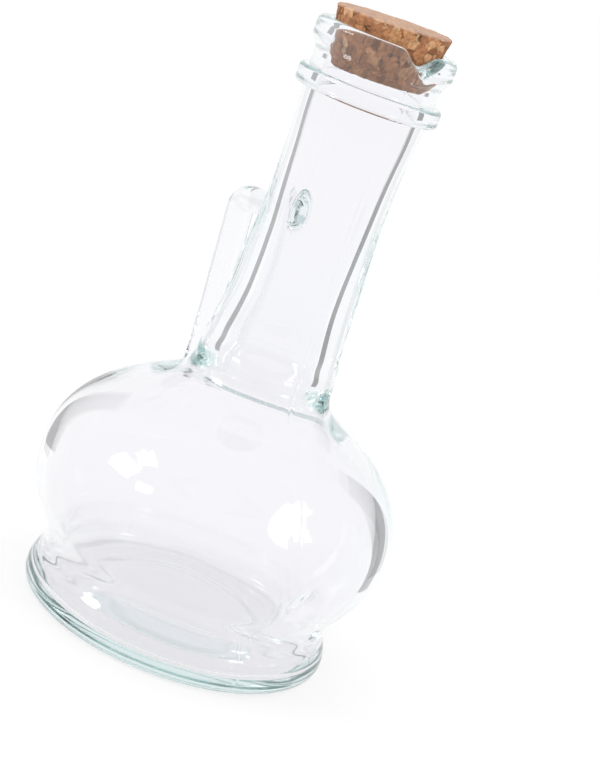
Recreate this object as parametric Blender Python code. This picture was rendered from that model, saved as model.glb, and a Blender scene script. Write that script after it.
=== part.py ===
"""A clear glass oil bottle with a loop handle, a pressed pouring notch and a tapered cork stopper.

It stands on the XY plane with its axis on +Z. The front, with the pouring notch, looks along -Y. The handle is at
the back, on +Y.
"""

import math

import bmesh
import bpy
from mathutils import Matrix, Vector
from mathutils.geometry import interpolate_bezier

# Compass headings, anticlockwise from +X: the mould's plane runs from front to back
front_heading = math.radians(-90)
back_heading = math.radians(90)

# Overall sizes of the glass, in metres
rim_height = 0.1754
belly_radius = 0.0514
belly_height = 0.0395

# Foot: a flat standing ring, the round bead that flares out above it, and the waist above the bead
ring_radius = 0.0410
ring_width = 0.0100
bead_reach = 0.0036
bead_height = 0.0040
waist_radius = 0.0421
waist_height = 0.0135
push_up = 0.0008

# Belly and shoulder: the belly swells from the waist, then the shoulder slopes in to the neck
swell_inset = 0.0045
swell_height = 0.0240
swell_angle = math.radians(60)
slope_radius = 0.0310
slope_height = 0.0670
slope_angle = math.radians(151)
belly_wall = 0.0040
shoulder_wall = 0.0030
waist_wall = 0.0031

# Floor: a thin slab that turns up at the heel, inside the bead, and has a low hump in its middle
floor_thickness = 0.0033
floor_dish = 0.0002
heel_wall = 0.0033
heel_height = 0.0062
heel_round = 0.0029
hump = 0.0032
hump_radius = 0.0255

# Neck: heavy glass at its root, where the bore narrows, and a thinner wall towards the collar
neck_root_height = 0.0790
neck_root_radius = 0.0197
neck_waist_radius = 0.0163
neck_wall = 0.0033
bore_root_radius = 0.0144
bore_waist_radius = 0.0111

# Collar ring and lip, measured down from the rim
collar_drop = 0.0136
collar_thickness = 0.0050
collar_reach = 0.0023
collar_round = 0.0010
lip_height = 0.0092
lip_band = 0.0030
lip_wall = 0.0045
lip_overhang = 0.0019
lip_round = 0.0020
mouth_round = 0.0016

# Pouring notch, pressed down into the lip: deeper at its outer edge than at the bore
notch_depth = 0.0054
notch_depth_at_bore = 0.0028
notch_half_angle = math.radians(23.5)
notch_heading = front_heading + math.radians(5)

# Cork stopper: a tapered plug, pushed in a little askew
cork_top_radius = 0.0160
cork_bottom_radius = 0.0130
cork_length = 0.0158
cork_stand_out = 0.0046
cork_edge = 0.0005
cork_lean = math.radians(2.3)
cork_lean_heading = math.radians(150)
cork_clearance = 0.0002
cork_seat_depth = 0.0066
cork_room = 0.0011

# Handle: an oval strap that leaves the neck, turns down and lands on the shoulder
handle_top_height = 0.1193
handle_corner_reach = 0.0466
handle_corner_radius = 0.0050
handle_foot_reach = 0.0380
handle_thickness = 0.0074
handle_width = 0.0084
handle_arm_slope = math.radians(-8)
joint_height = 0.0130
joint_width = 0.0072
joint_length = 0.0050
landing_thickness = 0.0088
landing_width = 0.0100
handle_seat_gap = 0.0003
handle_bury = 0.0060

# Fineness of the meshes: a curved outline strays no further than the tolerance from its facets
facet_tolerance = 0.00012
turned_sides = 54
strap_sides = 16
cork_sides = 48
weld_distance = 0.00001
sharp_angle = math.radians(40)

# Directions in which an outline runs: across is away from the axis
OUT, UP, IN, DOWN = (math.radians(angle) for angle in (0, 90, 180, 270))

# A curve's handles reach this share of the chord, which makes a right-angled turn a round arc
pull_share = 0.39
straight_limit = math.radians(1)

# Outlines of the neck and the bore: (share of the way up the neck, share of the way from one radius to the next)
neck_lower_shares = ((0.17, 0.42), (0.40, 0.70))
neck_waist_share = 0.64
neck_upper_share = (0.82, 0.22)
bore_waist_share = 0.29
bore_lower_share = (0.11, 0.55)
bore_upper_shares = ((0.48, 0.18), (0.72, 0.55))


def mix(first, last, share):
    return first + (last - first) * share


def direction(angle):
    """A unit vector in the XZ plane."""
    return Vector((math.cos(angle), 0, math.sin(angle)))


def knot(across, up, arrive=None, leave=None):
    """A point of an outline, with the directions in which the curve arrives and leaves."""
    return Vector((across, 0, up)), arrive, arrive if leave is None else leave


def with_headings(knots):
    """Gives each knot without a direction the one from the knot before it to the knot after it."""
    filled = []
    for index, (place, arrive, leave) in enumerate(knots):
        if arrive is None:
            chord = knots[index + 1][0] - knots[index - 1][0]
            arrive = leave = math.atan2(chord.z, chord.x)
        filled.append((place, arrive, leave))
    return filled


def turn_between(first, last):
    """The unsigned angle between two directions."""
    return abs(math.remainder(first - last, math.tau))


def curve_through(knots):
    """Points along a smooth curve through the knots. A straight stretch gets only its end point."""
    knots = with_headings(knots)
    points = [knots[0][0]]
    for (start, _, leave), (end, arrive, _) in zip(knots, knots[1:]):
        chord = end - start
        heading = math.atan2(chord.z, chord.x)
        turn = turn_between(heading, leave) + turn_between(heading, arrive)
        if turn < straight_limit:
            points.append(end)
            continue
        # A flat arc of this chord and turn stands off its chord by an eighth of their product
        steps = math.ceil(math.sqrt(chord.length * turn / (8 * facet_tolerance)))
        pull = chord.length * pull_share
        handles = start + direction(leave) * pull, end - direction(arrive) * pull
        points += interpolate_bezier(start, *handles, end, steps + 1)[1:]
    return points


def cork_radius_at(height):
    """Radius of the upright cork at a height above the base."""
    bottom = rim_height + cork_stand_out - cork_length
    return mix(cork_bottom_radius, cork_top_radius, (height - bottom) / cork_length)


def seat_radius_at(height):
    """Radius of the mouth that clears the leaning cork at a height above the base."""
    taper = (cork_top_radius - cork_bottom_radius) / cork_length
    # The lean swings the cork's lower end aside and sinks one side of the taper
    sway = math.sin(cork_lean) * (rim_height - height + cork_top_radius * taper)
    return cork_radius_at(height) + cork_clearance + sway


# Sizes that follow from those above
swell_radius = belly_radius - swell_inset
bead_radius = ring_radius + bead_reach
heel_radius = bead_radius - heel_wall
floor_radius = heel_radius - heel_round
mouth_radius = seat_radius_at(rim_height - mouth_round)
seat_bottom = rim_height - cork_seat_depth
lip_radius = mouth_radius + lip_wall
groove_radius = lip_radius - lip_overhang
lip_root = rim_height - lip_height
collar_top = rim_height - collar_drop
collar_bottom = collar_top - collar_thickness
collar_radius = groove_radius + collar_reach
bore_top_radius = cork_bottom_radius + cork_room
neck_top_radius = bore_top_radius + neck_wall


def up_neck(share):
    return mix(neck_root_height, collar_bottom, share)


def edge_slope(rise, reach):
    """The slope at the edge of a shallow dome that rises over a reach. It is twice its chord's slope."""
    return 2 * math.atan2(rise, reach)


def foot_outline():
    """From the middle of the underside, over the standing ring and its bead, to the waist."""
    ring_inner = ring_radius - ring_width
    return [
        knot(0, push_up, OUT),
        knot(ring_inner, 0, -edge_slope(push_up, ring_inner), OUT),
        knot(ring_radius, 0, OUT),
        knot(bead_radius, bead_height, UP),
        knot(waist_radius, waist_height, UP),
    ]


def body_outline():
    """The outside of the belly and the shoulder, up to the root of the neck."""
    return [
        knot(swell_radius, swell_height, swell_angle),
        knot(belly_radius, belly_height, UP),
        knot(slope_radius, slope_height, slope_angle),
        knot(neck_root_radius, neck_root_height, UP),
    ]


def neck_outline():
    """The outside of the neck, up to the underside of the collar."""
    knots = []
    for height_share, radius_share in neck_lower_shares:
        knots.append(knot(mix(neck_root_radius, neck_waist_radius, radius_share), up_neck(height_share)))
    knots.append(knot(neck_waist_radius, up_neck(neck_waist_share), UP))
    height_share, radius_share = neck_upper_share
    knots.append(knot(mix(neck_waist_radius, neck_top_radius, radius_share), up_neck(height_share)))
    knots.append(knot(neck_top_radius, collar_bottom, UP, OUT))
    return knots


def mouth_outline():
    """The collar ring, the lip and the tapered seat for the cork."""
    band_top = rim_height - lip_round
    seat_slope = math.atan2(seat_bottom - rim_height + mouth_round, seat_radius_at(seat_bottom) - mouth_radius)
    return [
        knot(collar_radius - collar_round, collar_bottom, OUT),
        knot(collar_radius, collar_bottom + collar_round, UP),
        knot(collar_radius, collar_top - collar_round, UP),
        knot(collar_radius - collar_round, collar_top, IN),
        knot(groove_radius, collar_top, IN, UP),
        knot(groove_radius, lip_root, UP),
        knot(lip_radius, band_top - lip_band, UP),
        knot(lip_radius, band_top, UP),
        knot(lip_radius - lip_round, rim_height, IN),
        knot(mouth_radius + mouth_round, rim_height, IN),
        knot(mouth_radius, rim_height - mouth_round, seat_slope),
        knot(seat_radius_at(seat_bottom), seat_bottom, seat_slope),
        knot(bore_top_radius, collar_top, DOWN),
    ]


def bore_outline():
    """The bore of the neck, downwards to its root."""
    knots = []
    for height_share, radius_share in reversed(bore_upper_shares):
        knots.append(knot(mix(bore_waist_radius, bore_top_radius, radius_share), up_neck(height_share)))
    knots.append(knot(bore_waist_radius, up_neck(bore_waist_share), DOWN))
    height_share, radius_share = bore_lower_share
    knots.append(knot(mix(bore_root_radius, bore_waist_radius, radius_share), up_neck(height_share)))
    knots.append(knot(bore_root_radius, neck_root_height))
    return knots


def cavity_outline():
    """The inside of the shoulder, the belly and the floor, downwards to the middle of the floor."""
    inward = direction(slope_angle + UP) * shoulder_wall
    return [
        knot(slope_radius + inward.x, slope_height + inward.z, slope_angle + IN),
        knot(belly_radius - belly_wall, belly_height, DOWN),
        knot(swell_radius - belly_wall, swell_height, swell_angle + IN),
        knot(waist_radius - waist_wall, waist_height, DOWN),
        knot(heel_radius, heel_height, DOWN),
        knot(floor_radius, floor_thickness + floor_dish, IN),
        knot(hump_radius, floor_thickness, IN, IN - edge_slope(hump, hump_radius)),
        knot(0, floor_thickness + hump, IN),
    ]


def outer_knots():
    return foot_outline() + body_outline() + neck_outline()


def turned(name, points, sides):
    """A mesh of revolution about Z. The outline starts and ends on the axis."""
    bm = bmesh.new()
    verts = [bm.verts.new(point) for point in points]
    edges = [bm.edges.new(pair) for pair in zip(verts, verts[1:])]
    bmesh.ops.spin(
        bm, geom=verts + edges, cent=(0, 0, 0), axis=(0, 0, 1), angle=math.tau, steps=sides, use_merge=True
    )
    bmesh.ops.remove_doubles(bm, verts=bm.verts, dist=weld_distance)
    return finished(name, bm)


def finished(name, bm):
    """Turns the bmesh into a mesh with outward faces and smooth shading."""
    bmesh.ops.recalc_face_normals(bm, faces=bm.faces)
    mesh = bpy.data.meshes.new(name)
    bm.to_mesh(mesh)
    bm.free()
    mesh.shade_smooth()
    mesh.set_sharp_from_angle(angle=sharp_angle)
    return mesh


def placed(name, mesh, material):
    obj = bpy.data.objects.new(name, mesh)
    mesh.materials.append(material)
    bpy.context.scene.collection.objects.link(obj)
    return obj


def clear_scene():
    for obj in list(bpy.data.objects):
        bpy.data.objects.remove(obj)


def principled(name, colour, roughness):
    material = bpy.data.materials.new(name)
    material.use_nodes = True
    shader = material.node_tree.nodes["Principled BSDF"]
    shader.inputs["Base Color"].default_value = (*colour, 1)
    shader.inputs["Roughness"].default_value = roughness
    shader.inputs["Metallic"].default_value = 0
    return material, shader


def glass_material():
    """Clear pressed glass with a faint blue-green cast."""
    material, shader = principled("clear_glass", (0.90, 0.96, 0.95), 0.03)
    shader.inputs["Transmission Weight"].default_value = 1
    shader.inputs["IOR"].default_value = 1.52
    return material


def cork_material():
    """Pressed cork granules, tan with a dry surface."""
    return principled("pressed_cork", (0.48, 0.20, 0.08), 0.85)[0]


def notch_share(heading):
    """How far the lip is pressed down at a compass heading: 1 in the middle of the notch, 0 outside it."""
    off = turn_between(heading, notch_heading)
    if off >= notch_half_angle:
        return 0
    return (1 + math.cos(math.pi * off / notch_half_angle)) / 2


def press_notch(mesh):
    """Presses the pouring notch into the lip. The glass below it is squeezed, and its root stays."""
    for vertex in mesh.vertices:
        x, y, z = vertex.co
        across = min(max((math.hypot(x, y) - mouth_radius) / lip_wall, 0), 1)
        root = mix(collar_top, lip_root, across)
        depth = mix(notch_depth_at_bore, notch_depth, across)
        rise = max((z - root) / (rim_height - root), 0)
        vertex.co.z = z - depth * rise * notch_share(math.atan2(y, x))


def make_bottle(material):
    knots = outer_knots() + mouth_outline() + bore_outline() + cavity_outline()
    mesh = turned("glass_bottle", curve_through(knots), turned_sides)
    press_notch(mesh)
    return placed("glass_bottle", mesh, material)


def make_hull():
    """The outside of the shoulder and the neck, grown by the seat gap: it trims the handle's two ends."""
    outline = curve_through(outer_knots())
    wall = [point for point in outline if point.z >= waist_height and point.x > 0]
    grown = [Vector((point.x + handle_seat_gap, 0, point.z)) for point in wall]
    for index in range(1, len(wall) - 1):
        along = (wall[index + 1] - wall[index - 1]).normalized()
        grown[index] = wall[index] + Vector((along.z, 0, -along.x)) * handle_seat_gap
    closed = [Vector((0, 0, grown[0].z)), *grown, Vector((0, 0, grown[-1].z))]
    hull = bpy.data.objects.new("handle_trim", turned("handle_trim", closed, turned_sides))
    bpy.context.scene.collection.objects.link(hull)
    hull.hide_render = True
    hull.display_type = "WIRE"
    return hull


def shoulder_height_at(reach):
    """Height of the shoulder's outside at a distance from the axis."""
    slope = [point for point in curve_through(outer_knots()) if point.z >= belly_height]
    outer = [point for point in slope if point.x >= reach][-1]
    inner = slope[slope.index(outer) + 1]
    return mix(outer.z, inner.z, (outer.x - reach) / (outer.x - inner.x))


def handle_path():
    """Centre line of the strap: out from inside the neck, round the corner and down into the shoulder."""
    corner_arrive = handle_corner_reach - handle_corner_radius
    arm_drop = math.tan(handle_arm_slope)
    arm_end = handle_top_height + arm_drop * (corner_arrive - neck_waist_radius)
    landing = shoulder_height_at(handle_foot_reach)
    strap_top = arm_end - handle_corner_radius
    strap = math.atan2(landing - strap_top, handle_foot_reach - handle_corner_reach)
    start = neck_waist_radius - handle_bury
    start_height = handle_top_height - arm_drop * handle_bury
    end = Vector((handle_foot_reach, 0, landing)) + direction(strap) * handle_bury
    joint_end = neck_root_radius + joint_length
    joint_end_height = handle_top_height + arm_drop * (joint_end - neck_waist_radius)
    foot_start = Vector((handle_foot_reach, 0, landing)) - direction(strap) * joint_length
    return [
        knot(start, start_height, handle_arm_slope),
        knot(neck_waist_radius, handle_top_height, handle_arm_slope),
        knot(joint_end, joint_end_height, handle_arm_slope),
        knot(corner_arrive, arm_end, handle_arm_slope),
        knot(handle_corner_reach, strap_top, strap),
        knot(foot_start.x, foot_start.z, strap),
        knot(end.x, end.z, strap),
    ]


def resampled(points, spacing):
    """Splits each straight stretch that is longer than the spacing."""
    dense = [points[0]]
    for start, end in zip(points, points[1:]):
        parts = max(1, round((end - start).length / spacing))
        dense += [start.lerp(end, part / parts) for part in range(1, parts + 1)]
    return dense


def strap_size(size, neck_size, foot_size, from_neck, from_foot):
    """A size of the strap's section, which swells to the joint's own at the neck and at the shoulder."""
    at_neck = max(1 - from_neck / (2 * joint_length), 0)
    at_foot = max(1 - from_foot / (2 * joint_length), 0)
    size = mix(size, neck_size, min(at_neck, 1) ** 2)
    return mix(size, foot_size, min(at_foot, 1) ** 2)


def strap_mesh(path):
    """A closed oval tube along the path, turned from the XZ plane to the back of the bottle."""
    to_back = Matrix.Rotation(back_heading, 3, "Z")
    lengths = [0]
    for start, end in zip(path, path[1:]):
        lengths.append(lengths[-1] + (end - start).length)
    bm = bmesh.new()
    rings = []
    for index, centre in enumerate(path):
        from_neck = lengths[index] - handle_bury
        from_foot = lengths[-1] - lengths[index] - handle_bury
        thickness = strap_size(handle_thickness, joint_height, landing_thickness, from_neck, from_foot)
        width = strap_size(handle_width, joint_width, landing_width, from_neck, from_foot)
        along = (path[min(index + 1, len(path) - 1)] - path[max(index - 1, 0)]).normalized()
        section = Matrix.Diagonal((thickness / 2, width / 2)).to_3x3()
        ring = []
        for side in range(strap_sides):
            angle = math.tau * side / strap_sides
            rise, aside, _ = section @ Vector((math.sin(angle), math.cos(angle), 0))
            corner = centre + Vector((-along.z, 0, along.x)) * rise + Vector((0, aside, 0))
            ring.append(bm.verts.new(to_back @ corner))
        rings.append(ring)
    for first, second in zip(rings, rings[1:]):
        for side in range(strap_sides):
            following = (side + 1) % strap_sides
            bm.faces.new((first[side], first[following], second[following], second[side]))
    bm.faces.new(rings[0])
    bm.faces.new(rings[-1])
    return finished("handle", bm)


def make_handle(material):
    path = resampled(curve_through(handle_path()), joint_length / 2)
    handle = placed("handle", strap_mesh(path), material)
    trim = handle.modifiers.new("trim_to_glass", "BOOLEAN")
    trim.operation = "DIFFERENCE"
    trim.object = make_hull()
    return handle


def make_cork(material):
    """The stopper. Its origin is on the bottle's axis in the plane of the rim."""
    top, bottom = cork_stand_out, cork_stand_out - cork_length
    outline = [
        knot(0, bottom, OUT),
        knot(cork_bottom_radius - cork_edge, bottom, OUT, OUT),
        knot(cork_bottom_radius, bottom + cork_edge, UP),
        knot(cork_top_radius, top - cork_edge, UP),
        knot(cork_top_radius - cork_edge, top, IN),
        knot(0, top, IN),
    ]
    points = [place for place, _, _ in outline]
    cork = placed("cork_stopper", turned("cork_stopper", points, cork_sides), material)
    askew = Vector((-math.sin(cork_lean_heading), math.cos(cork_lean_heading), 0))
    cork.matrix_world = Matrix.Translation((0, 0, rim_height)) @ Matrix.Rotation(cork_lean, 4, askew)
    return cork


def main():
    clear_scene()
    glass = glass_material()
    make_bottle(glass)
    make_handle(glass)
    make_cork(cork_material())


main()
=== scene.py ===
# %% [markdown]
# # A clear glass oil bottle
# The bottle is clear glass with a faint blue-green cast, pressed and blown in a mould. It has a wide flattened
# belly, a long waisted neck with a collar and a thick lip, a loop handle at the back and a tapered cork in its
# mouth. The measured model comes first, as a frame that nothing here moves. Every detailed piece is then made round
# it, in metres, with +Z up, the pouring notch towards -Y and the handle towards +Y.

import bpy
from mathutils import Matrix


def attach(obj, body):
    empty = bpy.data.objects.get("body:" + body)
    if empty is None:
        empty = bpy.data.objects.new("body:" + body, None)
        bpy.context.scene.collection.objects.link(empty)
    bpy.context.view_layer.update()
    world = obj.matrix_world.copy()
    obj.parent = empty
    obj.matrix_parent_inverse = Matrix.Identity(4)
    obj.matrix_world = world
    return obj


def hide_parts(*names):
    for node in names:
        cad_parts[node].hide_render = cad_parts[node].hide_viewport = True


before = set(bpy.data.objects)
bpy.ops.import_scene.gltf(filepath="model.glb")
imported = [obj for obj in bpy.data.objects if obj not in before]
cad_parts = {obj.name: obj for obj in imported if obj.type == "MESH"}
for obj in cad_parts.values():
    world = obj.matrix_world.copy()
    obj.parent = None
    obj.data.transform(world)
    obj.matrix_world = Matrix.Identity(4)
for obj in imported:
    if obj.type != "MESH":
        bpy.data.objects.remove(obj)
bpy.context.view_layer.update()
MM = 0.001
print("Pieces of the measured model:", sorted(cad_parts))

# %% [markdown]
# ## Tools
# `bpy` reaches Blender's scene, `bmesh` edits meshes, and `mathutils` has vectors, turns, Bezier curves and smooth
# noise. Blender counts in metres and a glass maker in millimetres, so the bottle's sizes are written in millimetres,
# times MM.

# %% Bring the tools in
import math

import bmesh
import bpy
import numpy as np
from mathutils import Matrix, Vector, noise
from mathutils.geometry import interpolate_bezier

scene = bpy.context.scene
print("Blender", bpy.app.version_string, "has a scene named", scene.name)

# %% [markdown]
# ## Outlines
# Glass that comes out of a mould like this is nearly all a turned shape. One outline, from the middle of the
# underside over the lip and down the inside to the middle of the floor, makes the whole bottle.
# The outline is drawn with a few knots. Each has a place and the direction in which the curve passes it, and a
# Bezier curve joins each knot to the next. That takes far fewer numbers than a long list of points, and the curve
# stays smooth when a size changes.

# %% Knots and curves
OUT, UP, IN, DOWN = (math.radians(angle) for angle in (0, 90, 180, 270))
pull_share = 0.39
straight_limit = math.radians(1)


def mix(first, last, share):
    return first + (last - first) * share


def clamped(value):
    return min(max(value, 0), 1)


def direction(angle):
    """A unit vector in the XZ plane."""
    return Vector((math.cos(angle), 0, math.sin(angle)))


def knot(across, up, arrive=None, leave=None):
    """A point of an outline, with the directions in which the curve arrives and leaves."""
    return Vector((across, 0, up)), arrive, arrive if leave is None else leave


def turn_between(first, last):
    return abs(math.remainder(first - last, math.tau))


print("Up is", [round(value, 2) for value in direction(UP)])

# %% A smooth curve through knots
outline_tolerance = 0.006 * MM
outline_step = 1.8 * MM


def with_headings(knots):
    """Gives each knot without a direction the one from the knot before it to the knot after it."""
    filled = []
    for index, (place, arrive, leave) in enumerate(knots):
        if arrive is None:
            chord = knots[index + 1][0] - knots[index - 1][0]
            arrive = leave = math.atan2(chord.z, chord.x)
        filled.append((place, arrive, leave))
    return filled


def curve_through(knots, tolerance, longest):
    """Points along the curve, at most the longest step apart and at most the tolerance off it."""
    knots = with_headings(knots)
    points = [knots[0][0]]
    for (start, _, leave), (end, arrive, _) in zip(knots, knots[1:]):
        chord = end - start
        heading = math.atan2(chord.z, chord.x)
        turn = turn_between(heading, leave) + turn_between(heading, arrive)
        # A flat arc of this chord and turn stands off its chord by an eighth of their product
        for_turn = math.sqrt(chord.length * turn / (8 * tolerance))
        steps = math.ceil(max(for_turn, chord.length / longest))
        if turn < straight_limit:
            points += [start.lerp(end, step / steps) for step in range(1, steps + 1)]
            continue
        pull = chord.length * pull_share
        handles = start + direction(leave) * pull, end - direction(arrive) * pull
        points += interpolate_bezier(start, *handles, end, steps + 1)[1:]
    return points


radius = 10 * MM
quarter = curve_through([knot(radius, 0, UP), knot(0, radius, IN)], outline_tolerance, outline_step)
print(len(quarter), f"points on a quarter circle of {radius / MM:.0f} mm")

# %% [markdown]
# ## Foot, belly and shoulder
# The foot is a round bead over a flat ring, so the bottle stands without rocking. Above it the glass draws in to a
# waist, swells to the belly and slopes in to the neck. The wall is about as thick as a window pane and the floor is
# a thin slab with a low hump, because a gather of glass spreads evenly when it is blown.
# The hump matters to the looks: its front slope bends light along the slab, where the glass's own colour builds up,
# and the eye sees that as a blue-green arc on the floor.

# %% Sizes of the foot, the belly and the shoulder
rim_height = 175.4 * MM
belly_radius = 51.4 * MM
belly_height = 39.5 * MM
ring_radius = 41.0 * MM
ring_width = 10.0 * MM
bead_reach = 3.6 * MM
bead_height = 4.0 * MM
bead_radius = ring_radius + bead_reach
waist_radius = 42.1 * MM
waist_height = 13.5 * MM
push_up = 0.8 * MM
swell_radius = belly_radius - 4.5 * MM
swell_height = 24.0 * MM
swell_angle = math.radians(60)
slope_radius = 31.0 * MM
slope_height = 67.0 * MM
slope_angle = math.radians(151)
print(f"Foot {bead_radius * 2 / MM:.0f} mm and belly {belly_radius * 2 / MM:.0f} mm across")

# %% Thickness of the glass there
belly_wall = 4.0 * MM
shoulder_wall = 3.0 * MM
waist_wall = 3.1 * MM
floor_thickness = 3.3 * MM
floor_dish = 0.2 * MM
heel_wall = 3.3 * MM
heel_height = 6.2 * MM
heel_round = 2.9 * MM
heel_radius = bead_radius - heel_wall
floor_radius = heel_radius - heel_round
hump = 3.2 * MM
hump_radius = 25.5 * MM
floor_middle = floor_thickness + hump
print(f"The floor's top is {floor_thickness / MM:.1f} mm up, and {floor_middle / MM:.1f} mm in the middle")

# %% [markdown]
# ## Neck, collar, lip and mouth
# A bottle maker finishes the mouth last, while the glass is soft: a lip thick enough not to chip, and a collar ring
# below it to grip or to tie a cover on. The mouth tapers so that a cork seals at any depth.
# The cork's sizes come first here, because the mouth is worked out from them. This cork leans a little, so the
# mouth's radius at each height is the cork's radius there, a clearance, and the sway of the lean.

# %% Sizes of the cork and the seat that clears it
cork_top_radius = 16.0 * MM
cork_bottom_radius = 13.0 * MM
cork_length = 15.8 * MM
cork_stand_out = 4.6 * MM
cork_edge = 0.5 * MM
cork_lean = math.radians(2.3)
cork_lean_heading = math.radians(150)
cork_clearance = 0.2 * MM
cork_room = 1.1 * MM
seat_bottom = rim_height - 6.6 * MM


def seat_radius_at(height):
    """Radius of the mouth that clears the leaning cork at a height above the base."""
    cork_bottom = rim_height + cork_stand_out - cork_length
    cork_radius = mix(cork_bottom_radius, cork_top_radius, (height - cork_bottom) / cork_length)
    taper = (cork_top_radius - cork_bottom_radius) / cork_length
    sway = math.sin(cork_lean) * (rim_height - height + cork_top_radius * taper)
    return cork_radius + cork_clearance + sway


print(f"The seat's lower end is {seat_radius_at(seat_bottom) * 2 / MM:.1f} mm across")

# %% Sizes of the neck, the collar and the lip
neck_root_height = 79.0 * MM
neck_root_radius = 19.7 * MM
neck_waist_radius = 16.3 * MM
neck_wall = 3.3 * MM
bore_root_radius = 14.4 * MM
bore_waist_radius = 11.1 * MM
bore_top_radius = cork_bottom_radius + cork_room
neck_top_radius = bore_top_radius + neck_wall
lip_wall = 4.5 * MM
lip_overhang = 1.9 * MM
lip_round = 2.0 * MM
lip_band = 3.0 * MM
mouth_round = 1.6 * MM
lip_root = rim_height - 9.2 * MM
collar_top = rim_height - 13.6 * MM
collar_bottom = collar_top - 5.0 * MM
collar_round = 1.0 * MM
collar_reach = 2.3 * MM
mouth_radius = seat_radius_at(rim_height - mouth_round)
lip_radius = mouth_radius + lip_wall
groove_radius = lip_radius - lip_overhang
collar_radius = groove_radius + collar_reach
print(f"The mouth is {mouth_radius * 2 / MM:.1f} mm across, the lip {lip_radius * 2 / MM:.1f} mm", end=" ")
print(f"and the collar {collar_radius * 2 / MM:.1f} mm")

# %% [markdown]
# ## The two outlines
# The outside runs up from the underside and the inside runs down to the floor. They meet on the rim.
# Neck and bore are waisted differently. The uneven wall between them works as a lens, which is why two dark lines
# run down the neck: there the eye sees the sides of the studio instead of its bright back.

# %% The outside of the body, from the underside up


def edge_slope(rise, reach):
    """The slope at the edge of a shallow dome that rises over a reach. It is twice its chord's slope."""
    return 2 * math.atan2(rise, reach)


def body_knots():
    ring_inner = ring_radius - ring_width
    return [
        knot(0, push_up, OUT),
        knot(ring_inner, 0, -edge_slope(push_up, ring_inner), OUT),
        knot(ring_radius, 0, OUT),
        knot(bead_radius, bead_height, UP),
        knot(waist_radius, waist_height, UP),
        knot(swell_radius, swell_height, swell_angle),
        knot(belly_radius, belly_height, UP),
        knot(slope_radius, slope_height, slope_angle),
        knot(neck_root_radius, neck_root_height, UP),
    ]


print(len(body_knots()), "knots from the underside to the neck's root")

# %% The outside of the neck, the collar and the lip
# Along the neck: (share of the way up, share of the way from one radius to the next)
neck_lower_shares = ((0.17, 0.42), (0.40, 0.70))
neck_waist_share = 0.64
neck_upper_share = (0.82, 0.22)


def up_neck(share):
    return mix(neck_root_height, collar_bottom, share)


def neck_knots():
    knots = []
    for height_share, radius_share in neck_lower_shares:
        knots.append(knot(mix(neck_root_radius, neck_waist_radius, radius_share), up_neck(height_share)))
    knots.append(knot(neck_waist_radius, up_neck(neck_waist_share), UP))
    height_share, radius_share = neck_upper_share
    knots.append(knot(mix(neck_waist_radius, neck_top_radius, radius_share), up_neck(height_share)))
    return knots


def collar_and_lip_knots():
    band_top = rim_height - lip_round
    return [
        knot(neck_top_radius, collar_bottom, UP, OUT),
        knot(collar_radius - collar_round, collar_bottom, OUT),
        knot(collar_radius, collar_bottom + collar_round, UP),
        knot(collar_radius, collar_top - collar_round, UP),
        knot(collar_radius - collar_round, collar_top, IN),
        knot(groove_radius, collar_top, IN, UP),
        knot(groove_radius, lip_root, UP),
        knot(lip_radius, band_top - lip_band, UP),
        knot(lip_radius, band_top, UP),
        knot(lip_radius - lip_round, rim_height, IN),
        knot(mouth_radius + mouth_round, rim_height, IN),
    ]


print(len(neck_knots()), "knots on the neck and", len(collar_and_lip_knots()), "on the collar and the lip")

# %% The inside, from the rim down to the floor
bore_upper_shares = ((0.72, 0.55), (0.48, 0.18))
bore_waist_share = 0.29
bore_lower_share = (0.11, 0.55)


def mouth_and_bore_knots():
    seat_radius = seat_radius_at(seat_bottom)
    seat_slope = math.atan2(seat_bottom - rim_height + mouth_round, seat_radius - mouth_radius)
    knots = [
        knot(mouth_radius + mouth_round, rim_height, IN),
        knot(mouth_radius, rim_height - mouth_round, seat_slope),
        knot(seat_radius, seat_bottom, seat_slope),
        knot(bore_top_radius, collar_top, DOWN),
    ]
    for height_share, radius_share in bore_upper_shares:
        knots.append(knot(mix(bore_waist_radius, bore_top_radius, radius_share), up_neck(height_share)))
    knots.append(knot(bore_waist_radius, up_neck(bore_waist_share), DOWN))
    height_share, radius_share = bore_lower_share
    knots.append(knot(mix(bore_root_radius, bore_waist_radius, radius_share), up_neck(height_share)))
    knots.append(knot(bore_root_radius, neck_root_height))
    return knots


def cavity_knots():
    inward = direction(slope_angle + UP) * shoulder_wall
    return [
        knot(slope_radius + inward.x, slope_height + inward.z, slope_angle + IN),
        knot(belly_radius - belly_wall, belly_height, DOWN),
        knot(swell_radius - belly_wall, swell_height, swell_angle + IN),
        knot(waist_radius - waist_wall, waist_height, DOWN),
        knot(heel_radius, heel_height, DOWN),
        knot(floor_radius, floor_thickness + floor_dish, IN),
        knot(hump_radius, floor_thickness, IN, IN - edge_slope(hump, hump_radius)),
        knot(0, floor_middle, IN),
    ]


print(len(mouth_and_bore_knots()), "knots in the mouth and the bore,", len(cavity_knots()), "in the cavity")

# %% Both outlines as points
outside = curve_through(body_knots() + neck_knots() + collar_and_lip_knots(), outline_tolerance, outline_step)
inside = curve_through(mouth_and_bore_knots() + cavity_knots(), outline_tolerance, outline_step)
print(len(outside), "points outside and", len(inside), "inside")

# %% [markdown]
# ## What the mould and the breath leave in the glass
# A real wall is never even. The outside copies the mould, so it is nearly true, with a fine raised seam at the front
# and at the back where the two halves of the mould met. The inside touched only air, so it wanders more, and the
# cavity sits a little off the axis. Low on the belly a short slanting fold of thicker glass stands in.
# Waves of a few tenths of a millimetre are plenty: they bend the highlights and the dark lines as in real glass.

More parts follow.
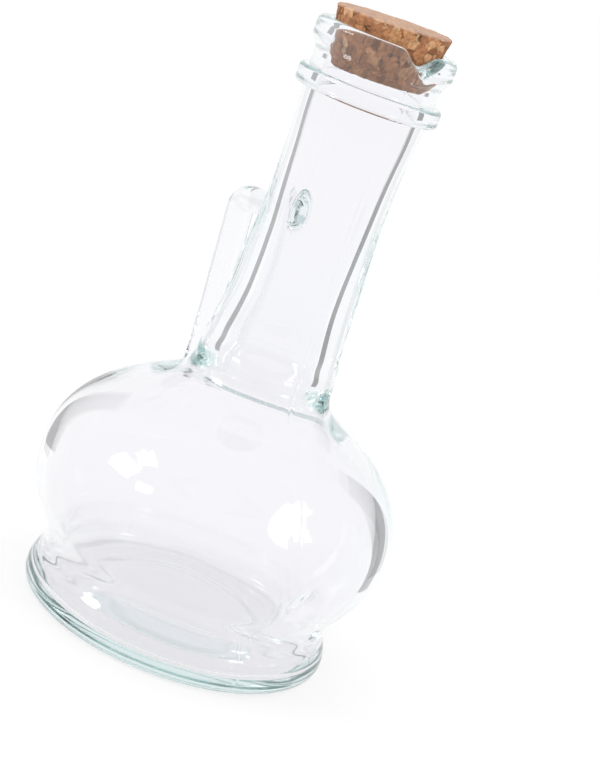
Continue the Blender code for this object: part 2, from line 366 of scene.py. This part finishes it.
# %% Seams, and columns of points that are closer over them
seam_headings = (math.radians(-90), math.radians(90))
seam_height = 0.11 * MM
seam_half_width = 0.45 * MM
column_spacing = math.radians(1.75)
seam_spacing = math.radians(0.45)
seam_reach = math.radians(2.7)


def column_headings():
    """Headings of the mesh's columns, anticlockwise from +X."""
    found = []
    fine_count = round(2 * seam_reach / seam_spacing)
    rest = math.pi - 2 * seam_reach
    rest_count = round(rest / column_spacing)
    for seam in seam_headings:
        found += [seam - seam_reach + step * 2 * seam_reach / fine_count for step in range(fine_count + 1)]
        found += [seam + seam_reach + step * rest / rest_count for step in range(1, rest_count)]
    return found


headings = column_headings()
print(len(headings), "columns")

# %% Waves, the cavity's drift and the fold
outer_wave = 0.06 * MM
outer_wave_length = 27 * MM
inner_wave = 0.45 * MM
inner_wave_length = 20 * MM
neck_calm_share = 0.35
firm_reach = 12 * MM
inner_pattern, outer_pattern = 1, 2
pattern_shift = Vector((17.3, -9.1, 5.7))
# Each drift is a distance off the axis, the height of its middle and its reach up and down
drift_heading = math.radians(-30)
drifts = ((0.25 * MM, 108 * MM, 18 * MM), (-0.9 * MM, 44 * MM, 18 * MM))
fold_height = 0.9 * MM
fold_half_width = 3.4 * MM
fold_start = (math.radians(-88), 22.5 * MM)
fold_end = (math.radians(-78), 32.5 * MM)


def wave(place, length, pattern):
    """Slow unevenness between about -1 and 1. A pattern's number picks another place in the noise."""
    return noise.noise(place / length + pattern_shift * pattern)


def drift_at(heading, height):
    off_centre = sum(size * math.exp(-(((height - middle) / reach) ** 2)) for size, middle, reach in drifts)
    return off_centre * math.cos(heading - drift_heading)


def fold_at(heading, height):
    """How far the inside stands in at the fold, which grows from its lower end to its upper end."""
    along = Vector(((fold_end[0] - fold_start[0]) * belly_radius, fold_end[1] - fold_start[1]))
    away = Vector((math.remainder(heading - fold_start[0], math.tau) * belly_radius, height - fold_start[1]))
    share = clamped(away.dot(along) / along.length_squared)
    gap = (away - along * share).length / fold_half_width
    return fold_height * share * math.exp(-gap * gap)


print(f"The fold's upper end stands in by {fold_at(*fold_end) / MM:.1f} mm")

# %% The outline at one heading


def swelled(point, heading, is_inside):
    """Radius of the outline's point at a heading, with all that the mould and the breath leave there."""
    radius, height = point.x, point.z
    place = Vector((radius * math.cos(heading), radius * math.sin(heading), height))
    firmness = clamped(radius / firm_reach) * clamped((collar_bottom - height) / firm_reach)
    if is_inside:
        in_neck = clamped((height - slope_height) / (neck_root_height - slope_height))
        unevenness = inner_wave * firmness * mix(1, neck_calm_share, in_neck)
        moved = radius + drift_at(heading, height) - fold_at(heading, height)
        return moved + unevenness * wave(place, inner_wave_length, inner_pattern)
    ridge = 0
    for seam in seam_headings:
        away = turn_between(heading, seam) * radius / seam_half_width
        ridge += seam_height * math.exp(-away * away)
    stands = clamped(height / bead_height)
    unevenness = outer_wave * firmness * wave(place, outer_wave_length, outer_pattern)
    return radius + stands * (ridge + unevenness)


belly_point = Vector((belly_radius, 0, belly_height))
print("Belly over the seam", round(swelled(belly_point, seam_headings[0], False) / MM, 2), "mm from the axis")

# %% [markdown]
# ## The pouring notch
# The notch is pressed down into the hot lip with a tool, so nothing is cut away: the rim dips, the glass below it is
# squeezed, and the root of the lip stays where it was. Moving points down does the same as the tool. A cut-out would
# leave sharp edges that such a lip doesn't have.

# %% Press the notch
notch_depth = 5.4 * MM
notch_depth_at_bore = 2.8 * MM
notch_half_angle = math.radians(23.5)
notch_heading = math.radians(-85)


def pressed(radius, height, heading):
    """Height of a point of the lip after the notch is pressed."""
    off = turn_between(heading, notch_heading)
    if off >= notch_half_angle or height < collar_top:
        return height
    share = (1 + math.cos(math.pi * off / notch_half_angle)) / 2
    across = clamped((radius - mouth_radius) / lip_wall)
    root = mix(collar_top, lip_root, across)
    depth = mix(notch_depth_at_bore, notch_depth, across)
    return height - depth * max((height - root) / (rim_height - root), 0) * share


print(f"In the notch the rim is {pressed(lip_radius, rim_height, notch_heading) / MM:.1f} mm high")

# %% [markdown]
# ## The skin of the bottle
# Rings of points, one for each point of the outline, are joined into a closed skin. The glass has to be one closed
# body with a real inside, because the renderer bends light where it enters and leaves, and colours it by the length
# of the way between.
# A Screw modifier would turn the outline too, but alike all round. Rings that are worked out point by point leave
# room for the notch, the seams and the waves.

# %% A closed skin over rings


def ring_mesh(name, first, rings, last):
    """A closed skin over rings of points, which comes to a single point at each end."""
    sides, end = len(rings[0]), len(rings[0]) * len(rings) + 1
    top = end - sides
    faces = []
    for side in range(sides):
        after = (side + 1) % sides
        faces += [(0, 1 + after, 1 + side), (top + side, top + after, end)]
        for low in range(1, top, sides):
            high = low + sides
            faces.append((low + side, low + after, high + after, high + side))
    mesh = bpy.data.meshes.new(name)
    mesh.from_pydata([first, *(corner for ring in rings for corner in ring), last], [], faces)
    bm = bmesh.new()
    bm.from_mesh(mesh)
    bmesh.ops.recalc_face_normals(bm, faces=bm.faces)
    bm.to_mesh(mesh)
    bm.free()
    return mesh


def linked(name, data):
    """An object in the scene that shows a mesh, a lamp or a camera."""
    obj = bpy.data.objects.new(name, data)
    scene.collection.objects.link(obj)
    return obj


print("The skin will have", len(headings) * (len(outside) + len(inside) - 2), "faces")

# %% The bottle


def ring_at(point, is_inside):
    ring = []
    for heading in headings:
        radius = swelled(point, heading, is_inside)
        height = pressed(point.x, point.z, heading)
        ring.append(Vector((radius * math.cos(heading), radius * math.sin(heading), height)))
    return ring


outer_rings = [ring_at(point, False) for point in outside[1:]]
inner_rings = [ring_at(point, True) for point in inside[1:-1]]
bottle = linked("bottle_glass", ring_mesh("bottle_glass", outside[0], outer_rings + inner_rings, inside[-1]))
print(len(bottle.data.polygons), "faces")

# %% [markdown]
# ## The handle
# The handle is a strap of hot glass that is pressed on to the neck, pulled out, bent down and set on the shoulder,
# so its ends spread and melt into the wall. Rings of points along a centre line make such a strap. Their section is
# an oval that swells towards both ends, and where it nears the wall each point moves outwards along a round fillet.
# A curve with a round bevel would be quicker to set up, but it would meet the wall at a hard line.

# %% Sizes of the handle
handle_top_height = 119.3 * MM
handle_corner_reach = 46.6 * MM
handle_corner_radius = 5.0 * MM
handle_foot_reach = 38.0 * MM
handle_thickness = 7.4 * MM
handle_width = 8.4 * MM
handle_arm_slope = math.radians(-8)
joint_height = 13.0 * MM
joint_width = 7.2 * MM
joint_reach = 10.0 * MM
landing_thickness = 8.8 * MM
landing_width = 10.0 * MM
handle_bury = 2.2 * MM
fillet = 2.2 * MM
strap_sides = 56
strap_step = 0.55 * MM
to_back = Matrix.Rotation(math.radians(90), 3, "Z")
print(f"Strap {handle_thickness / MM:.1f} mm thick and {handle_width / MM:.1f} mm wide")

# %% The centre line of the strap


def handle_path():
    """Knots in the XZ plane, from inside the neck's wall into the shoulder."""
    corner_arrive = handle_corner_reach - handle_corner_radius
    arm_drop = math.tan(handle_arm_slope)
    arm_end = handle_top_height + arm_drop * (corner_arrive - neck_waist_radius)
    slope = [point for point in outside if belly_height <= point.z <= neck_root_height]
    landing = min(slope, key=lambda point: abs(point.x - handle_foot_reach)).z
    strap_top = arm_end - handle_corner_radius
    strap = math.atan2(landing - strap_top, handle_foot_reach - handle_corner_reach)
    end = Vector((handle_foot_reach, 0, landing)) + direction(strap) * handle_bury
    return [
        knot(neck_waist_radius - handle_bury, handle_top_height - arm_drop * handle_bury, handle_arm_slope),
        knot(corner_arrive, arm_end, handle_arm_slope),
        knot(handle_corner_reach, strap_top, strap),
        knot(end.x, end.z, strap),
    ]


path = curve_through(handle_path(), outline_tolerance, strap_step)
lengths = [0]
for start, end in zip(path, path[1:]):
    lengths.append(lengths[-1] + (end - start).length)
print(f"The strap is {lengths[-1] / MM:.0f} mm long")

# %% How far a point is above the glass
wall_points = np.array([(p.x, p.z) for p in outside if p.x > 0 and waist_height <= p.z <= collar_bottom])
wall_along = np.gradient(wall_points, axis=0)
wall_along /= np.linalg.norm(wall_along, axis=1)[:, None]
wall_normals = np.stack((wall_along[:, 1], -wall_along[:, 0]), axis=1)


def above_glass(place):
    """(how far a point is outside the shoulder or the neck, the glass's outward direction there)"""
    radius = math.hypot(place.x, place.y)
    gaps = np.array((radius, place.z)) - wall_points
    nearest = int(np.argmin((gaps**2).sum(axis=1)))
    across, up = wall_normals[nearest]
    lift = float(gaps[nearest] @ wall_normals[nearest])
    return lift, Vector((place.x / radius * across, place.y / radius * across, up))


def flared(place, outward):
    """Moves a point of the strap outwards along the fillet, and keeps its distance above the glass."""
    lift, _ = above_glass(place)
    if lift >= fillet:
        return place
    depth = fillet - max(lift, 0)
    spread = fillet - math.sqrt(max(fillet**2 - depth**2, 0)) + max(-lift, 0)
    moved = place + outward * spread
    now, normal = above_glass(moved)
    return moved + normal * (lift - now)


corner = to_back @ Vector((handle_corner_reach, 0, handle_top_height))
print(f"The strap's corner is {above_glass(corner)[0] / MM:.0f} mm above the glass")

# %% The strap's skin


def strap_size(size, neck_size, foot_size, from_neck, from_foot):
    """A size of the strap's section, which swells to the joint's own at the neck and at the shoulder."""
    at_neck = clamped(1 - from_neck / joint_reach)
    at_foot = clamped(1 - from_foot / joint_reach)
    return mix(mix(size, neck_size, at_neck**2), foot_size, at_foot**2)


def strap_ring(index):
    from_neck = lengths[index] - handle_bury
    from_foot = lengths[-1] - lengths[index] - handle_bury
    thickness = strap_size(handle_thickness, joint_height, landing_thickness, from_neck, from_foot)
    width = strap_size(handle_width, joint_width, landing_width, from_neck, from_foot)
    along = (path[min(index + 1, len(path) - 1)] - path[max(index - 1, 0)]).normalized()
    ring = []
    for side in range(strap_sides):
        angle = math.tau * side / strap_sides
        rise, aside = thickness / 2 * math.sin(angle), width / 2 * math.cos(angle)
        offset = Vector((-along.z * rise, aside, along.x * rise))
        ring.append(flared(to_back @ (path[index] + offset), to_back @ offset.normalized()))
    return ring


strap_rings = [strap_ring(index) for index in range(len(path))]
handle = linked("handle_strap", ring_mesh("handle_strap", to_back @ path[0], strap_rings, to_back @ path[-1]))
print(len(handle.data.polygons), "faces in the strap")

# %% [markdown]
# ## One body of glass
# On the real bottle the strap's ends have melted into the wall, and nothing parts them. Two skins that overlap would
# show a false wall inside the glass. So a Boolean union makes one skin of strap and bottle, which then stands for
# both measured pieces and moves with the body they belong to.

# %% Melt the strap into the bottle
crease_angle = math.radians(50)
fuse = bottle.modifiers.new("fuse_handle", "BOOLEAN")
fuse.operation = "UNION"
fuse.solver = "EXACT"
fuse.object = handle
fused = bpy.data.meshes.new_from_object(bottle.evaluated_get(bpy.context.evaluated_depsgraph_get()))
bottle.modifiers.clear()
bottle.data = fused
bpy.data.objects.remove(handle)
bottle.data.shade_smooth()
bottle.data.set_sharp_from_angle(angle=crease_angle)
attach(bottle, "bottle")
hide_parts("glass_bottle", "handle")
print(len(bottle.data.polygons), "faces with the handle")

# %% [markdown]
# ## Colours and nodes
# Colours are written as the sRGB codes of a paint chart, and one function turns them into the linear values that
# light is reckoned in. Another small function adds a node with its settings and links, so that a material reads
# like a list.

# %% Helpers for materials


def linear(code):
    """An sRGB colour such as "c8e6e3" as the linear colour that Blender's sockets take."""
    channels = [int(code[place : place + 2], 16) / 255 for place in (0, 2, 4)]
    return [c / 12.92 if c <= 0.04045 else ((c + 0.055) / 1.055) ** 2.4 for c in channels] + [1]


def add_node(tree, kind, settings=None, links=None):
    """Adds a node, sets its properties and sockets, and links outputs of other nodes to its sockets."""
    node = tree.nodes.new("ShaderNode" + kind)
    for name, value in (settings or {}).items():
        if isinstance(name, str) and hasattr(node, name):
            setattr(node, name, value)
        else:
            node.inputs[name].default_value = value
    for name, output in (links or {}).items():
        tree.links.new(output, node.inputs[name])
    return node


def new_material(name):
    material = bpy.data.materials.new(name)
    material.use_nodes = True
    material.node_tree.nodes.clear()
    return material, material.node_tree


print("sRGB 808080 is", round(linear("808080")[0], 3), "in linear light")

# %% [markdown]
# ## Pressed clear glass
# Plain soda-lime glass, fire-polished on the outside. It is smooth and colourless face on, and traces of iron make it
# blue-green where the eye looks along it, in the foot and at edges. So the iron's colour belongs in the volume, as an
# absorption that grows with the length of the way. The faint grey-lavender of the surface is painted shade: it dims
# all light through each face, in place of the dim room that the glass would mirror. Handling leaves faint smears that
# soften the reflections here and there, and the standing ring is scuffed by tables.
# The refractive index of soda-lime glass is 1.52.

# %% Colour of the glass inside, and painted shade at its surface
# The surface colour is painted shade: a faint grey-lavender that dims every ray through a face of the glass
painted_shade_tint, glass_ior = "faf9fb", 1.52
iron_tint, iron_density = "bce2e0", 6.2
long_way = 100 * MM
kept = [math.exp(-iron_density * (1 - channel) * long_way) for channel in linear(iron_tint)[:3]]
print(f"After {long_way / MM:.0f} mm of glass, red, green and blue keep", [round(share, 2) for share in kept])

# %% Smears, scuffs and the glass itself
smear_size = 17 * MM
smear_roughness = 0.05
# Smears begin where the noise is above the first value, and are full at the second
smear_start, smear_full = 0.45, 0.8
scuff_roughness = 0.05
scuff_top, scuff_full = 3 * MM, 1.5 * MM


def pressed_clear_glass():
    material, tree = new_material("pressed_clear_glass")
    place = add_node(tree, "TexCoord").outputs["Object"]
    smears = add_node(
        tree, "TexNoise", {"Scale": 1 / smear_size, "Detail": 4, "Roughness": 0.6}, {"Vector": place}
    )
    smeared = add_node(
        tree, "MapRange",
        {"From Min": smear_start, "From Max": smear_full, "To Min": 0, "To Max": smear_roughness},
        {"Value": smears.outputs["Fac"]},
    )
    height = add_node(tree, "SeparateXYZ", {}, {"Vector": place}).outputs["Z"]
    scuffed = add_node(
        tree, "MapRange",
        {"From Min": scuff_top, "From Max": scuff_full, "To Min": 0, "To Max": scuff_roughness},
        {"Value": height},
    )
    rough = add_node(tree, "Math", {"operation": "ADD"}, {0: smeared.outputs[0], 1: scuffed.outputs[0]})
    # The base colour is the painted shade that dims the glass face on
    shader = add_node(
        tree, "BsdfPrincipled",
        {"Base Color": linear(painted_shade_tint), "IOR": glass_ior, "Transmission Weight": 1, "Metallic": 0},
        {"Roughness": rough.outputs[0]},
    )
    iron = add_node(tree, "VolumeAbsorption", {"Color": linear(iron_tint), "Density": iron_density})
    surface, volume = shader.outputs["BSDF"], iron.outputs["Volume"]
    add_node(tree, "OutputMaterial", {}, {"Surface": surface, "Volume": volume})
    return material


bottle.data.materials.clear()
bottle.data.materials.append(pressed_clear_glass())
print("The glass takes", len(bottle.data.materials[0].node_tree.nodes), "nodes")

# %% [markdown]
# ## The cork
# The stopper is agglomerated cork: bark is ground into granules of a few millimetres, glued and pressed into a
# block, and the plug is cut from it with a taper. Each granule has its own brown, a few are dark bark, and crumbs
# fall out along the joints between them.
# A Voronoi pattern packs cells just as the press packs granules. Every point of the mesh looks up its granule, sinks
# by the relief and keeps what it found in a colour attribute, so that colour and relief belong together.

# %% What a point of the cork looks like
granule_size = 2.4 * MM
granule_bend = 1.6 * MM
granule_bend_share = 0.22
joint_share = 0.10
ragged_size, ragged_gain = 2.3 * MM, 1.6
dark_share = 0.06
# Each draw has a stretch or a shift of its own, so that no two patterns fall together
tone_stretch, dark_stretch = 7.3, 3.9
ragged_shift, dark_shift = Vector((5, 1, 3)), Vector((9, 2, 4))
# Without a seed the vector noise starts from the clock, and each run would bend the granules in another way
bend_seed = 1
noise.seed_set(bend_seed)


def draw(centre):
    """An even random number between 0 and 1 for a granule. The cell noise runs from -1 to 1."""
    return (noise.cell(centre) + 1) / 2


def granule_at(place):
    """(tone of the granule, how deep in a joint, whether it is dark bark), each between 0 and 1."""
    bend = noise.noise_vector(place / granule_bend) * granule_bend_share
    distances, centres = noise.voronoi(place / granule_size + bend, distance_metric="DISTANCE")
    tone = draw(centres[0] * tone_stretch)
    joint = clamped(1 - (distances[1] - distances[0]) / joint_share)
    ragged = clamped(0.5 + ragged_gain * noise.noise(place / ragged_size + ragged_shift))
    dark = draw(centres[0] * dark_stretch + dark_shift) > 1 - dark_share
    return tone, joint * ragged, float(dark)


print("A point of the cork:", [round(value, 2) for value in granule_at(Vector((cork_top_radius, 0, 0)))])

# %% How deep it lies below the cut surface
granule_relief = 0.20 * MM
joint_depth = 0.28 * MM
crumb_depth = 0.5 * MM
crumb_size = 1.1 * MM
crumb_limit = 0.62


def cork_depth(tone, joint, place):
    """Depth in metres. Crumbs that fell out leave small pits."""
    crumb = clamped((noise.noise(place / crumb_size) - crumb_limit) / (1 - crumb_limit))
    return granule_relief * tone + joint_depth * joint + crumb_depth * crumb


print(f"The bottom of a joint is {cork_depth(0, 1, Vector()) / MM:.2f} mm deep")

# %% The plug
cork_sides = 330
cork_step = 0.32 * MM


def cork_rows():
    """(place, direction outwards) of each ring, from the foot to the top of the upright plug."""
    bottom, top = cork_stand_out - cork_length, cork_stand_out
    corners = [
        Vector((0, 0, bottom)), Vector((cork_bottom_radius - cork_edge, 0, bottom)),
        Vector((cork_bottom_radius, 0, bottom + cork_edge)), Vector((cork_top_radius, 0, top - cork_edge)),
        Vector((cork_top_radius - cork_edge, 0, top)), Vector((0, 0, top)),
    ]
    rows = []
    for start, end in zip(corners, corners[1:]):
        along = (end - start).normalized()
        steps = math.ceil((end - start).length / cork_step)
        rows += [(start.lerp(end, step / steps), Vector((along.z, 0, -along.x))) for step in range(steps)]
    return rows[1:], corners[0], corners[-1]


rows, foot_middle, top_middle = cork_rows()
print(len(rows), "rings of", cork_sides, "points")

# %% Its skin and its looks
# The middles of both ends: a granule of middling brown, no joint and no dark bark
plain_look = (0.5, 0, 0, 1)
cork_rings, looks = [], [plain_look]
for place, outward in rows:
    ring = []
    for side in range(cork_sides):
        turn = Matrix.Rotation(math.tau * side / cork_sides, 3, "Z")
        spot = turn @ place
        tone, joint, dark = granule_at(spot)
        ring.append(spot - turn @ outward * cork_depth(tone, joint, spot))
        looks.append((tone, joint, dark, 1))
    cork_rings.append(ring)
looks.append(plain_look)
cork = linked("cork_granules", ring_mesh("cork_granules", foot_middle, cork_rings, top_middle))
layer = cork.data.color_attributes.new("granules", "FLOAT_COLOR", "POINT")
layer.data.foreach_set("color", [value for look in looks for value in look])
cork.data.shade_smooth()
print(len(cork.data.polygons), "faces in the cork")

# %% Set it askew in the mouth
askew = Vector((-math.sin(cork_lean_heading), math.cos(cork_lean_heading), 0))
cork.matrix_world = Matrix.Translation((0, 0, rim_height)) @ Matrix.Rotation(cork_lean, 4, askew)
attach(cork, "cork")
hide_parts("cork_stopper")
print(f"The cork leans by {math.degrees(cork_lean):.1f} degrees")

# %% [markdown]
# ## Agglomerated cork
# Ground bark, pressed with glue and cut. Cork is dry and matt: air-filled cells give no gloss at all. The granules run
# from reddish brown to pale tan, the joints between them are dark, and the colour is paler towards the sawn top.
# The colour of each granule comes from the attribute that the mesh keeps, by way of a ramp. The cells of cork are
# 0.04 mm wide, too fine to show here, so the grain inside a granule is drawn coarser, 1.1 mm wide.

# %% Browns of the granules and the dark bark
granule_browns = ((0, "9d6a49"), (0.5, "b07a55"), (0.7, "bb8359"), (0.88, "c9966c"), (1, "dab289"))
bark_brown = "8c5d3d"


def granule_colour(tree, parts):
    """The brown of each granule, by a ramp over its tone, or that of dark bark."""
    browns = add_node(tree, "ValToRGB", {}, {"Fac": parts["Red"]})
    stops = browns.color_ramp.elements
    for number, (position, code) in enumerate(granule_browns):
        stop = stops[number] if number < len(stops) else stops.new(position)
        stop.position, stop.color = position, linear(code)
    # Sockets 6 and 7 of a colour mix are its two colours, and output 2 is the result
    return add_node(
        tree, "Mix", {"data_type": "RGBA", 7: linear(bark_brown)},
        {0: parts["Blue"], 6: browns.outputs["Color"]},
    ).outputs[2]


print("The granules run through", len(granule_browns), "browns")

# %% Grain and joints darken it, and the top is paler
# The grain's noise between the first two values gives light between the next two
grain_from, grain_to = (0.36, 0.6), (0.68, 1.26)
joint_full, joint_light = 0.8, 0.3
top_tint, top_pale_share, top_pale_reach = "e6cbb8", 0.52, 0.8 * MM


def shaded(tree, colour, joint, grain_noise):
    """The colour, lighter and darker with the grain and darker in the joints."""
    grain = add_node(
        tree, "MapRange",
        {"From Min": grain_from[0], "From Max": grain_from[1], "To Min": grain_to[0], "To Max": grain_to[1]},
        {"Value": grain_noise},
    )
    joints = add_node(
        tree, "MapRange", {"From Min": 0, "From Max": joint_full, "To Min": 1, "To Max": joint_light},
        {"Value": joint},
    )
    light = add_node(tree, "Math", {"operation": "MULTIPLY"}, {0: grain.outputs[0], 1: joints.outputs[0]})
    scaled = {0: colour, "Scale": light.outputs[0]}
    return add_node(tree, "VectorMath", {"operation": "SCALE"}, scaled).outputs[0]


def paled_top(tree, colour, height):
    """The colour, paler towards the sawn top."""
    paling = add_node(
        tree, "MapRange",
        {
            "From Min": cork_stand_out - top_pale_reach, "From Max": cork_stand_out,
            "To Min": 0, "To Max": top_pale_share,
        },
        {"Value": height},
    )
    mixed = {0: paling.outputs[0], 6: colour}
    return add_node(tree, "Mix", {"data_type": "RGBA", 7: linear(top_tint)}, mixed).outputs[2]


print(f"At the bottom of a joint {joint_light:.0%} of the light is left")

# %% The cork's material
grain_size = 1.1 * MM
grain_bump = 0.15 * MM


def agglomerated_cork():
    material, tree = new_material("agglomerated_cork")
    look = add_node(tree, "Attribute", {"attribute_name": "granules"}).outputs["Color"]
    parts = add_node(tree, "SeparateColor", {}, {"Color": look}).outputs
    place = add_node(tree, "TexCoord").outputs["Object"]
    height = add_node(tree, "SeparateXYZ", {}, {"Vector": place}).outputs["Z"]
    grain = add_node(
        tree, "TexNoise", {"Scale": 1 / grain_size, "Detail": 4, "Roughness": 0.75}, {"Vector": place}
    ).outputs["Fac"]
    colour = paled_top(tree, shaded(tree, granule_colour(tree, parts), parts["Green"], grain), height)
    bumps = add_node(tree, "Bump", {"Strength": 0.6, "Distance": grain_bump}, {"Height": grain})
    shader = add_node(
        tree, "BsdfPrincipled", {"Roughness": 0.85, "IOR": 1.4},
        {"Base Color": colour, "Normal": bumps.outputs["Normal"]},
    )
    add_node(tree, "OutputMaterial", {}, {"Surface": shader.outputs["BSDF"]})
    return material


cork.data.materials.append(agglomerated_cork())
print("The cork takes", len(cork.data.materials[0].node_tree.nodes), "nodes")

# %% [markdown]
# ## White floor and white room
# Clear glass shows what is behind it, so a photographer stands it on a white sweep and lights the sweep. Here the
# room is plain white all round. The floor is matt paper for the light that it passes on. For a ray from the eye, off
# the glass or through it, a glow is added that makes the floor as white as the room.
# The floor could be all glow, but then it would take no shadow. So part of it still answers to light, and the
# bottle keeps a faint shadow to stand on.

# %% White paper
glow_share = 0.74
matt_share = 0.28
paper_white = 0.8
white = (1, 1, 1, 1)


def grey(value):
    return value, value, value, 1


def seen_directly(tree):
    """1 for a ray from the camera, off a polished surface or through glass, otherwise 0."""
    light = add_node(tree, "LightPath").outputs
    largest = {"operation": "MAXIMUM"}
    either = add_node(tree, "Math", largest, {0: light["Is Camera Ray"], 1: light["Is Glossy Ray"]})
    return add_node(tree, "Math", largest, {0: either.outputs[0], 1: light["Is Transmission Ray"]}).outputs[0]


def white_paper():
    material, tree = new_material("white_paper_sweep")
    matt = add_node(tree, "BsdfDiffuse", {"Color": grey(matt_share)})
    glow = add_node(tree, "Emission", {"Color": white, "Strength": glow_share})
    lit = add_node(tree, "AddShader", {}, {0: matt.outputs[0], 1: glow.outputs[0]})
    plain = add_node(tree, "BsdfDiffuse", {"Color": grey(paper_white)})
    choice = add_node(tree, "MixShader", {}, {0: seen_directly(tree), 1: plain.outputs[0], 2: lit.outputs[0]})
    add_node(tree, "OutputMaterial", {}, {"Surface": choice.outputs[0]})
    return material


print("The floor shows as", round(glow_share + matt_share, 2), "in full light and", glow_share, "in shade")

# %% The floor


def flat_sheet(name, width, height, matrix):
    bm = bmesh.new()
    stretch = Matrix.Diagonal((width, height, 1, 1))
    bmesh.ops.create_grid(bm, x_segments=1, y_segments=1, size=0.5, matrix=stretch)
    mesh = bpy.data.meshes.new(name)
    bm.to_mesh(mesh)
    bm.free()
    obj = linked(name, mesh)
    obj.matrix_world = matrix
    return obj


floor_size = 12.0
floor_drop = 0.1 * MM
floor = flat_sheet("floor", floor_size, floor_size, Matrix.Translation((0, 0, -floor_drop)))
floor.data.materials.append(white_paper())
print(f"The floor is {floor_size:.0f} m square")

# %% The room
world = bpy.data.worlds.new("white_room")
world.use_nodes = True
tree = world.node_tree
tree.nodes.clear()
walls = add_node(tree, "Background", {"Color": white, "Strength": 1})
add_node(tree, "OutputWorld", {}, {"Surface": walls.outputs[0]})
scene.world = world
print("The room is", world.name)

# %% [markdown]
# ## Camera
# The picture looks slightly down from half a metre away, a little to the left of the notch, and the camera is
# turned, so that the bottle leans across the frame. The place and the angles come from fitting the turned outline
# to the picture.

# %% The camera
up = Vector((0, 0, 1))
view_heading = math.radians(-30)
back = Vector((math.sin(view_heading), -math.cos(view_heading), 0))
right = Vector((math.cos(view_heading), math.sin(view_heading), 0))
camera_distance, camera_height = 0.510, 0.211
pitch, yaw, roll = math.radians(14.54), math.radians(1.17), math.radians(21.0)
sensor_width = 36
picture_height, focal_length_in_pixels = 764, 1902

ahead = right * math.sin(yaw) - back * math.cos(yaw)
side = right * math.cos(yaw) + back * math.sin(yaw)
ahead, rise = ahead * math.cos(pitch) - up * math.sin(pitch), up * math.cos(pitch) + ahead * math.sin(pitch)
rise, side = rise * math.cos(roll) - side * math.sin(roll), side * math.cos(roll) + rise * math.sin(roll)
camera = bpy.data.cameras.new("camera")
camera.sensor_width = sensor_width
camera.lens = focal_length_in_pixels * sensor_width / picture_height
camera_object = linked("camera", camera)
place = back * camera_distance + up * camera_height
camera_object.matrix_world = Matrix.Translation(place) @ Matrix((side, rise, -ahead)).transposed().to_4x4()
scene.camera = camera_object
print(f"Lens {camera.lens:.1f} mm")

# %% [markdown]
# ## Softboxes
# Two small softboxes, in front to the left and to the right, make the bright patches on the belly. Each patch is
# where the glass mirrors its lamp, so the lamps' headings and heights come from the patches' places. An area lamp
# has the size and the straight edges of a softbox, and its mirror image keeps them.

# %% Lamps


def turned_about(heading, elevation):
    """The direction from the bottle at a heading, anticlockwise from the camera's side, and an elevation."""
    return Matrix.Rotation(heading, 3, "Z") @ back * math.cos(elevation) + up * math.sin(elevation)


def facing(toward, place):
    return Matrix.Translation(place) @ toward.to_track_quat("Z", "Y").to_matrix().to_4x4()


lamp_distance = 0.9
lamp_aim_height = 50 * MM


def softbox(name, heading, elevation, width, height, watts):
    data = bpy.data.lights.new(name, "AREA")
    data.shape = "RECTANGLE"
    data.size, data.size_y, data.energy = width, height, watts
    toward = turned_about(heading, elevation)
    linked(name, data).matrix_world = facing(toward, up * lamp_aim_height + toward * lamp_distance)
    print(f"{name}: {watts} W, {width / MM:.0f} by {height / MM:.0f} mm")


softbox("softbox_left", math.radians(-67), math.radians(27), 0.27, 0.22, 1.7)
softbox("softbox_right", math.radians(63), math.radians(26), 0.20, 0.20, 0.9)

# %% [markdown]
# ## Cards for the edges
# Clear glass on a white ground has no edges. Photographers set a dark card on each side, just outside the picture:
# the edges of the glass bend light from the cards, and draw themselves as fine dark lines. The eye doesn't see the
# cards here. They show only in the glass, and only to light that has crossed two of its surfaces or fewer. That is
# light through an edge, so a card never stands as a grey strip behind the bottle when it is seen from elsewhere.
# Each card is darker above, the right one more than the left, as the lines along the neck are.

# %% Cards
card_distance = 141 * MM
card_heading = math.radians(121.2)
card_width, card_height = 40 * MM, 145 * MM
card_grade_height, card_grade = 60 * MM, 30 * MM
edge_crossings = 2


def card(name, heading, low_grey, high_grey):
    toward = turned_about(heading, 0)
    stand = facing(toward, toward * card_distance + up * card_height / 2)
    obj = flat_sheet(name, card_width, card_height, stand)
    material, tree = new_material(name)
    place = add_node(tree, "TexCoord").outputs["Object"]
    height = add_node(tree, "SeparateXYZ", {}, {"Vector": place}).outputs["Y"]
    middle = card_grade_height - card_height / 2
    low, high = middle - card_grade / 2, middle + card_grade / 2
    graded = add_node(
        tree, "MapRange", {"From Min": low, "From Max": high, "To Min": low_grey, "To Max": high_grey},
        {"Value": height},
    )
    glow = add_node(tree, "Emission", {"Color": white}, {"Strength": graded.outputs[0]})
    crossed = add_node(tree, "LightPath").outputs["Transmission Depth"]
    # The half keeps the test clear of the whole numbers that it tells apart
    more = add_node(tree, "Math", {"operation": "GREATER_THAN", 1: edge_crossings + 0.5}, {0: crossed})
    clear = add_node(tree, "BsdfTransparent")
    choice = add_node(tree, "MixShader", {}, {0: more.outputs[0], 1: glow.outputs[0], 2: clear.outputs[0]})
    add_node(tree, "OutputMaterial", {}, {"Surface": choice.outputs[0]})
    obj.data.materials.append(material)
    obj.visible_camera = obj.visible_diffuse = obj.visible_shadow = False
    print(f"{name}: grey {low_grey} below and {high_grey} above")


card("card_left", -card_heading, 0.48, 0.44)
card("card_right", card_heading, 0.43, 0.33)

# %% [markdown]
# ## Bounces for thick glass
# In real glass, light is thrown to and fro inside the thick foot until it gets out. Blender follows a ray only for a
# set number of bounces, 12 unless told otherwise, and takes what is left as black. So the foot would turn dark, and
# brighter lamps would not mend it. More bounces do.

# %% Render settings
glass_bounces = 32
scene.cycles.max_bounces = scene.cycles.glossy_bounces = scene.cycles.transmission_bounces = glass_bounces
scene.view_settings.view_transform = "Standard"
print("Up to", glass_bounces, "bounces")
